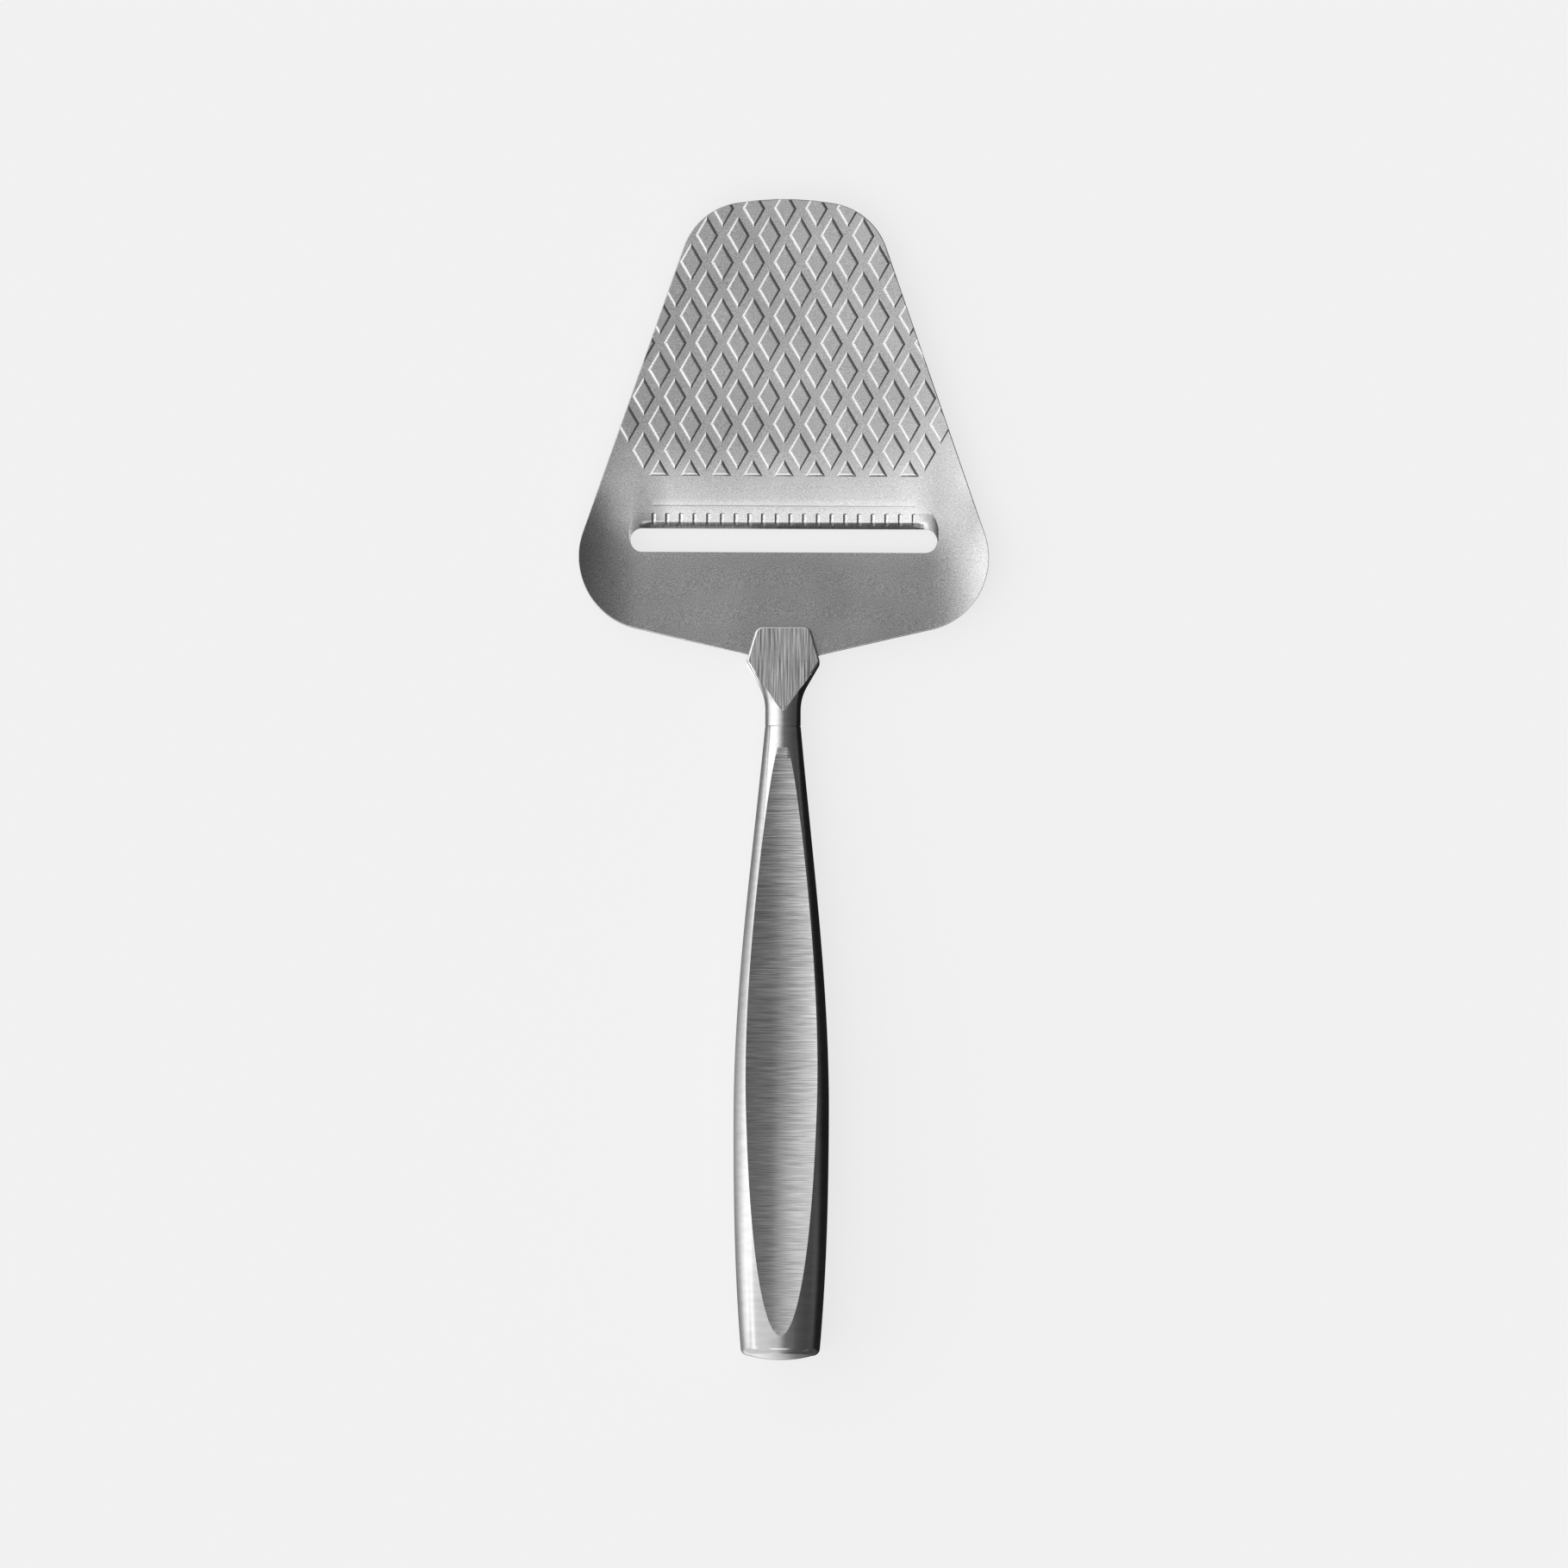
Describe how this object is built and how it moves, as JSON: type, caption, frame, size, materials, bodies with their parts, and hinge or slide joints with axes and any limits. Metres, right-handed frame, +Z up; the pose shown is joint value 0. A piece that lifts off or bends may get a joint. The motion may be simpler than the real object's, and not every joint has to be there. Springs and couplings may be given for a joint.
{
  "type": "cheese slicer",
  "caption": "Stainless steel cheese slicer: spade blade with raised diamonds and a cutting slot, shield bolster, round hollow handle with a thumb flat.",
  "frame": {"origin": "middle of the slicer's length and width, on the surface that it lies on", "axes": "+X across the blade, +Y along the slicer towards the blade's tip, +Z up from the table on the thumb side"},
  "size_m": [0.0884, 0.2499, 0.0171],
  "materials": {
    "blade": "bead blasted, fine even grain",
    "bolster": "pad linished lengthwise, neck polished",
    "handle": "polished, thumb flat brushed crosswise",
    "filling": "hard mineral-filled resin, hidden"
  },
  "bodies": {
    "root": {"blade": "blade", "bolster": "bolster", "handle_front_shell": "handle", "handle_back_shell": "handle", "handle_filling": "filling"}
  },
  "joints": []
}
